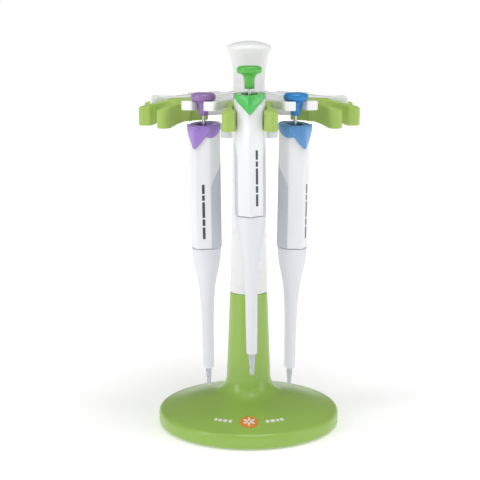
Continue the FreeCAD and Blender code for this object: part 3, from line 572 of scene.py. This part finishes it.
pipettes = {
    "purple": {"kind": "side", "azimuth": 240, "lean": ("X", 1.6, 17.8), "tabSide": -1,
               "finish": purplePlastic, "buttonFinish": purpleButton},
    "blue": {"kind": "side", "azimuth": 300, "lean": ("X", 1.6, 17.8), "tabSide": 1,
             "finish": bluePlastic, "buttonFinish": blueButton},
    "green": {"kind": "front", "azimuth": 270, "lean": ("Y", -0.6, -16), "tabSide": 1,
              "finish": greenPlastic, "buttonFinish": greenButton},
}


def sectionBody(name, low, high, grow=0.0, soft=None):
    # a cylinder whose front half is pulled forwards, then sliced to the keel's four flats
    size = body
    radius = size["sideX"] + grow
    piece = startMesh(name, bpy.ops.mesh.primitive_cylinder_add, vertices=96, radius=radius * mm,
                      depth=(high - low) * mm,
                      location=(0, size["sideY"] * mm, (low + high) / 2 * mm))
    pick(piece, lambda p: p.y < size["sideY"] - 0.01)
    forward = (size["keel"] + size["sideY"] + grow) / radius
    bpy.ops.transform.resize(value=(1, forward, 1), center_override=(0, size["sideY"] * mm, 0))
    keel = Vector((0, -size["keel"] - grow, 0))
    corners = [(keel.x, keel.y)]
    for sign in (1, -1):
        across, ahead = sign * (size["shoulderX"] + 0.8 * grow), -size["shoulderY"] - 0.8 * grow
        corners.append((across, ahead))
        shoulder = Vector((across, ahead, 0))
        side = Vector((sign * radius, size["sideY"], 0))
        for near, far in ((keel, shoulder), (shoulder, side)):
            run = far - near
            outward = Vector((run.y, -run.x, 0)) * sign
            cutFlat(near, outward.normalized())
    soft = size["softKeel"] if soft is None else soft
    pick(piece, lambda p: any(math.hypot(p.x - x, p.y - y) < 0.06 for x, y in corners), "EDGE")
    bpy.ops.mesh.bevel(offset=soft * mm, segments=4, affect="EDGES")
    bpy.ops.object.mode_set(mode="OBJECT")
    return piece


def placeOf(name):
    what = pipettes[name]
    kind = kinds[what["kind"]]
    angle = math.radians(what["azimuth"])
    leanAxis, lean, pivot = what["lean"]
    stand = Matrix.Translation(Vector((kind["circle"] * math.cos(angle),
                                       kind["circle"] * math.sin(angle), kind["rim"])) * mm)
    pivotAt = Matrix.Translation((0, 0, pivot * mm))
    return (stand @ Matrix.Rotation(math.radians(what["azimuth"] - 270), 4, "Z") @ pivotAt
            @ Matrix.Rotation(math.radians(lean), 4, leanAxis) @ pivotAt.inverted())


def boreCutter(seam):
    size = body
    return turnRings("boreCutter", [(pole, -seam - 1), (size["lowerBore"], -seam - 1),
                                    (size["lowerBore"], size["boreFoot"]),
                                    (size["bore"], size["boreFoot"]), (size["bore"], 2),
                                    (pole, 2)], around=48)


def keyRoom(core, seam):
    # a lane for the ejector's rod and a recess that the key's bridge sinks into
    size = body
    half, back, deep = size["recessHalf"], size["recessBack"], size["recessDepth"]
    carve(core, turnRings("laneCutter", [(pole, -seam - 1), (size["laneRadius"], -seam - 1),
                                         (size["laneRadius"], 1), (pole, 1)],
                          around=24, centre=(0, size["laneAt"])))
    front = back - size["recessReach"]
    carve(core, outlined("recessCutter", "side", [(front, -deep), (back, -deep), (back, 1),
                                                  (front, 1)], -half, 2 * half))


def makeHandle(name, kind, move):
    size, seam = body, kind["seam"]
    core = sectionBody(name + "Handle", -seam, size["top"])
    twin = copyOf(core, name + "GripPanel")
    # the panel's top edge sweeps up towards the back
    sweep = []
    for step in range(size["sweepSteps"] + 1):
        along = step / size["sweepSteps"]
        rise = (size["panelLow"] - size["panelTop"]) * math.sin(along * math.pi / 2)
        sweep.append((-size["shoulderY"] + along * (size["sideX"] + size["shoulderY"] + 3),
                      -size["panelLow"] + rise))
    panelShape = [(-size["shoulderY"], -seam - 2), (30, -seam - 2), (30, sweep[-1][1])]
    panelShape += sweep[::-1]
    carve(core, outlined("panelCut", "side", panelShape, -30, 60))
    carve(twin, outlined("panelCut", "side", panelShape, -30, 60), "INTERSECT")
    hook = outlined(name + "Hook", "side", size["hook"], -size["hookHalf"], 2 * size["hookHalf"])
    softEdges(hook, 0.9, 3)
    carve(core, boreCutter(seam))
    keyRoom(core, seam)
    carve(twin, boreCutter(seam))
    softEdges(core, 0.35, 2, fromAngle=40)
    softEdges(twin, 0.35, 2, fromAngle=40)
    core = joined(core, hook)
    finishPiece(core, name + "_handle", handleWhite, [name + "_handle"], 35,
                move)
    finishPiece(twin, name + "_handle", greyGrip, [name + "_grip_panel"], 35, move)


collarSize = {"low": -9.5, "high": 1.5, "grow": 0.5, "tilt": (0, -1.6, 18), "skirtReach": 18,
              "skirtLow": -12, "skirtTop": -2.5, "mouth": 6.4, "mouthLow": -14, "mouthHigh": 4,
              "lobe": [(9, 0.6), (6, 1.2), (4, 1.9), (2, 3.1), (-0.5, 4.9), (-3, 6.2), (-5, 6.8),
                       (-7, 7), (-9.4, 6.4)], "soft": 0.3}


def makeCollar(name, kind, move, finish):
    size = collarSize
    collar = sectionBody(name + "Collar", size["low"], size["high"], size["grow"])
    choose(collar)
    bpy.ops.object.mode_set(mode="EDIT")
    cutFlat((0, 0, 0), size["tilt"])
    bpy.ops.object.mode_set(mode="OBJECT")
    reach, top = size["skirtReach"], size["skirtTop"]
    skirt = [(-reach, size["skirtLow"]), (reach, size["skirtLow"]), (reach, top)]
    skirt += [(depth, top - drop * kind["skirt"]) for depth, drop in size["lobe"]]
    skirt += [(-reach, top)]
    carve(collar, outlined("skirtCut", "side", skirt, -30, 60))
    carve(collar, turnRings("mouthCut", [(pole, size["mouthLow"]), (size["mouth"], size["mouthLow"]),
                                         (size["mouth"], size["mouthHigh"]),
                                         (pole, size["mouthHigh"])], around=48))
    softEdges(collar, size["soft"], 2, fromAngle=40)
    finishPiece(collar, name + "_handle", finish, [name + "_collar"], 35, move)


keySize = {"grow": 1.2, "gap": 0.62, "softOuter": 1.6, "softInner": 1.4, "half": 10.4,
           "earHigh": 0.7, "top": -0.9, "longV": 16, "longSide": -10.2, "shortSide": -8.4,
           "bridge": (6.8, 5.2, 1.4), "bridgeAt": (0, -11.6, -1.6), "soft": 0.22}


def makeKey(name, kind, move, finish, tabSide):
    # the shield in front: an outer skin kept inside its V outline, given its thickness inwards
    size, v = keySize, kind["v"]
    half, high, top = size["half"], size["earHigh"], size["top"]
    side = size["longSide"] if v > size["longV"] else size["shortSide"]
    shield = sectionBody(name + "Key", -v - 1, 0.8, size["grow"], soft=size["softOuter"])
    outline = [(0, -v), (1.2, -v + 0.5), (6.2, side), (9.2, -5.6), (half, -3.6),
               (half, high if tabSide > 0 else top)]
    if tabSide > 0:
        outline += [(6.8, high), (6.2, top), (-half, top)]
    else:
        outline += [(-6.2, top), (-6.8, high), (-half, high)]
    outline += [(-half, -3.6), (-9.2, -5.6), (-6.2, side), (-1.2, -v + 0.5)]
    carve(shield, outlined("shieldOutline", "front", outline, -30, 28), "INTERSECT")
    carve(shield, sectionBody("keyHollow", -30, 5, size["gap"], soft=size["softInner"]))
    softEdges(shield, size["soft"], 2, fromAngle=40)
    bridgeAt = [part * mm for part in size["bridgeAt"]]
    bridge = startMesh("keyBridge", bpy.ops.mesh.primitive_cube_add, size=mm, location=bridgeAt)
    bpy.ops.transform.resize(value=size["bridge"], center_override=bridgeAt)
    softEdges(bridge, 0.3, 2)
    shield = joined(shield, bridge)
    finishPiece(shield, name + "_ejector", finish, [name + "_ejector_key"], 35,
                move)


buttonSize = {"bore": 1.45, "boreDepth": 8, "profile": [
    (3.4, 0), (3.7, 0.3), (3.85, 4), (4.1, 7.6), (4.6, 9.4), (5.6, 10.6), (7.2, 11.25), (8.6, 11.6),
    (9.3, 12.4), (9.5, 13.6), (9.35, 14.8), (8.8, 15.8), (7.8, 16.5), (6.2, 16.95), (4, 17.1),
    (2, 17.15), (pole, 17.18)]}


def makeButton(name, kind, move, finish):
    size, neck = buttonSize, kind["neck"]
    rings = [(pole, neck + size["boreDepth"]), (size["bore"], neck + size["boreDepth"]),
             (size["bore"], neck)]
    rings += [(radius, neck + rise) for radius, rise in size["profile"]]
    button = turnRings(name + "Button", rings, around=64)
    finishPiece(button, name + "_button", finish, [name + "_button"], 50, move)


sleeveSize = {"profile": [
    (4.3, 0.35), (10.7, 0.35), (11.1, 0.6), (11.2, 1), (11.05, 4), (10.85, 7), (10.5, 10.5),
    (9.9, 14), (9.2, 17.5), (8.4, 21), (7.6, 25), (6.9, 29), (6.27, 33.5), (5.75, 39), (5.35, 44),
    (5.1, 49), (4.85, 55), (4.7, 60)],
    "coneEnd": 60, "inside": [(3.5, 52), (5.2, 34), (5.2, 8), (4.3, 8)], "fadeDepth": 34,
    "fadeRadius": 5.6, "keelGrow": 0.17, "backGrow": 0.09, "rodAt": -10.3, "rodRadius": 1.15}


def makeSleeve(name, kind, move):
    size, seam, shoulder = sleeveSize, kind["seam"], kind["shoulder"]
    rings = [(radius, -seam - drop) for radius, drop in size["profile"]]
    rings += [(4.45, (-seam - size["coneEnd"] - shoulder) / 2), (4.1, -shoulder + 0.6),
              (3.9, -shoulder + 0.15), (3.6, -shoulder), (2.7, -shoulder), (2.7, -shoulder + 1.5),
              (3.5, -shoulder + 1.5)]
    rings += [(radius, -seam - drop) for radius, drop in size["inside"]]
    sleeve = turnRings(name + "Sleeve", rings + [rings[0]], around=96)
    # the top still has the handle's keel, which fades into the round lower cone
    shape = bmesh.from_edit_mesh(sleeve.data)
    for corner in shape.verts:
        depth = -corner.co.z / mm - seam
        radius = math.hypot(corner.co.x, corner.co.y) / mm
        if depth < size["fadeDepth"] and radius > size["fadeRadius"]:
            fade = (1 - max(depth, 0) / size["fadeDepth"]) ** 1.5
            angle = math.atan2(corner.co.y, corner.co.x)
            if corner.co.y < 0:
                corner.co.y *= 1 + size["keelGrow"] * fade * abs(math.sin(angle)) ** 3
            else:
                corner.co.y *= 1 + size["backGrow"] * fade
    bmesh.update_edit_mesh(sleeve.data)
    rod = startMesh("sleeveRod", bpy.ops.mesh.primitive_cylinder_add, vertices=24,
                    radius=size["rodRadius"] * mm, depth=(seam - 1) * mm,
                    location=(0, size["rodAt"] * mm, (-seam - 5) / 2 * mm))
    sleeve = joined(sleeve, rod)
    finishPiece(sleeve, name + "_ejector", sleeveWhite,
                [name + "_ejector_sleeve"], 40, move)


def makeNozzle(name, kind, move):
    shoulder, tip = kind["shoulder"], kind["tip"]
    drop = tip - shoulder
    rings = [(2.4, -shoulder + 3), (2.4, -shoulder), (2.36, -shoulder - 0.4),
             (2.2, -shoulder - drop * 0.25), (2.32, -shoulder - drop * 0.27),
             (2.26, -shoulder - drop * 0.33), (1.96, -shoulder - drop * 0.5),
             (1.75, -shoulder - drop * 0.75), (1.56, -tip + 0.5), (1.4, -tip), (0.8, -tip),
             (0.7, -tip + 0.4), (0.7, -shoulder + 3)]
    nozzle = turnRings(name + "Nozzle", rings + [rings[0]], around=48)
    finishPiece(nozzle, name + "_handle", nozzlePlastic, [name + "_nozzle"],
                40, move)


marks = {"bars": [(0, 9), (10.2, 5), (16.4, 12), (29.6, 4), (34.8, 7)], "wide": 2.0, "proud": 0.12,
         "foot": 8}


def makeMarks(name, kind, move):
    # plain bars along the flat right of the keel, where a maker's lettering would be
    keel = Vector((0, -body["keel"], 0))
    shoulder = Vector((body["shoulderX"], -body["shoulderY"], 0))
    middle = keel.lerp(shoulder, 0.5)
    facing = math.atan2(shoulder.y - keel.y, shoulder.x - keel.x)
    low = -kind["seam"] + marks["foot"]
    bars = []
    for start, length in marks["bars"]:
        bar = startMesh("markBar", bpy.ops.mesh.primitive_cube_add, size=mm)
        bpy.ops.transform.resize(value=(marks["wide"], marks["proud"] * 2, length),
                                 center_override=(0, 0, 0))
        bpy.ops.object.mode_set(mode="OBJECT")
        barAt = Vector((middle.x, middle.y, low + start + length / 2)) * mm
        bar.matrix_world = Matrix.Translation(barAt) @ Matrix.Rotation(facing, 4, "Z")
        bpy.ops.object.transform_apply(location=True, rotation=True, scale=True)
        bars.append(bar)
    label = joined(bars[0], *bars[1:])
    label.name = label.data.name = name + "Marks"
    finishPiece(label, name + "_handle", markDark, move=move)


for pipetteName, what in pipettes.items():
    where, kind = placeOf(pipetteName), kinds[what["kind"]]
    makeHandle(pipetteName, kind, where)
    makeCollar(pipetteName, kind, where, what["finish"])
    makeKey(pipetteName, kind, where, what["finish"], what["tabSide"])
    makeButton(pipetteName, kind, where, what["buttonFinish"])
    makeSleeve(pipetteName, kind, where)
    makeNozzle(pipetteName, kind, where)
    makeMarks(pipetteName, kind, where)
    print(pipetteName, "pipette done")


studio = {
    # the floor's glow is painted light: an emission that is weaker near the stand and stronger
    # further out
    "floorSize": 12, "floorTone": (250, 250, 250), "floorPaintedGlow": (0.12, 1.2, 0.3, 0.95),
    "skyLow": 1.0, "skyHigh": 0.24, "skyFrom": 0.05, "skyTo": 0.12, "aim": (0, 0, 0.15),
    "key": {"at": (-1.0, -0.55, 0.75), "size": (0.4, 1.0), "power": 5},
    "fill": {"at": (1.1, -0.4, 0.6), "size": (0.3, 1.0), "power": 2.8},
    "top": {"at": (0.1, -0.3, 1.4), "size": (0.7, 0.7), "power": 8},
}


def makeStudio():
    floor = startMesh("floor", bpy.ops.mesh.primitive_plane_add, size=studio["floorSize"])
    bpy.ops.mesh.subdivide(number_cuts=2)
    bpy.ops.object.mode_set(mode="OBJECT")
    paper = moulded("floorPaper", tone(*studio["floorTone"]), shade=0.99, rough=(0.7, 0.8))
    paperShader = paper.node_tree.nodes["Principled BSDF"]
    paperShader.inputs["Emission Color"].default_value = (1, 1, 1, 1)
    # the paper glows with painted light, weaker near the stand and stronger the further it runs from
    # it
    tree = paper.node_tree
    spot = addNode(tree, "ShaderNodeTexCoord")
    away = addNode(tree, "ShaderNodeVectorMath", operation="LENGTH")
    glow = addNode(tree, "ShaderNodeMapRange")
    for socket, number in zip(("From Min", "From Max", "To Min", "To Max"), studio["floorPaintedGlow"]):
        glow.inputs[socket].default_value = number
    tree.links.new(spot.outputs["Object"], away.inputs[0])
    tree.links.new(away.outputs["Value"], glow.inputs["Value"])
    tree.links.new(glow.outputs["Result"], paperShader.inputs["Emission Strength"])
    floor.data.materials.append(paper)
    for name in ("key", "fill", "top"):
        light = studio[name]
        lamp = bpy.data.lights.new(name, "AREA")
        lamp.shape = "RECTANGLE"
        lamp.size, lamp.size_y = light["size"]
        lamp.energy = light["power"]
        stand = bpy.data.objects.new(name, lamp)
        stand.location = light["at"]
        aim = Vector(studio["aim"]) - Vector(light["at"])
        stand.rotation_euler = aim.to_track_quat("-Z", "Y").to_euler()
        bpy.context.scene.collection.objects.link(stand)
    world = bpy.data.worlds.new("studioRoom")
    bpy.context.scene.world = world
    world.use_nodes = True
    tree = world.node_tree
    place = addNode(tree, "ShaderNodeTexCoord")
    split = addNode(tree, "ShaderNodeSeparateXYZ")
    tree.links.new(place.outputs["Generated"], split.inputs["Vector"])
    ramp = addNode(tree, "ShaderNodeValToRGB")
    ramp.color_ramp.elements[0].position = studio["skyFrom"]
    ramp.color_ramp.elements[1].position = studio["skyTo"]
    ramp.color_ramp.elements[0].color = (studio["skyLow"],) * 3 + (1,)
    ramp.color_ramp.elements[1].color = (studio["skyHigh"],) * 3 + (1,)
    tree.links.new(split.outputs["Z"], ramp.inputs["Fac"])
    tree.links.new(ramp.outputs["Color"], tree.nodes["Background"].inputs["Color"])
    bpy.context.scene.view_settings.view_transform = "Standard"


view = {"at": (-0.0072, -0.955, 0.329), "to": (-0.0072, 0, 0.1546), "lens": 88.66}


def makeCamera():
    lens = bpy.data.cameras.new("studioCamera")
    lens.lens = view["lens"]
    lens.sensor_width = 36
    lens.clip_start = 0.01
    camera = bpy.data.objects.new("studioCamera", lens)
    camera.location = view["at"]
    aim = Vector(view["to"]) - Vector(view["at"])
    camera.rotation_euler = aim.to_track_quat("-Z", "Y").to_euler()
    bpy.context.scene.collection.objects.link(camera)
    bpy.context.scene.camera = camera


makeStudio()
makeCamera()
print("studio ready")
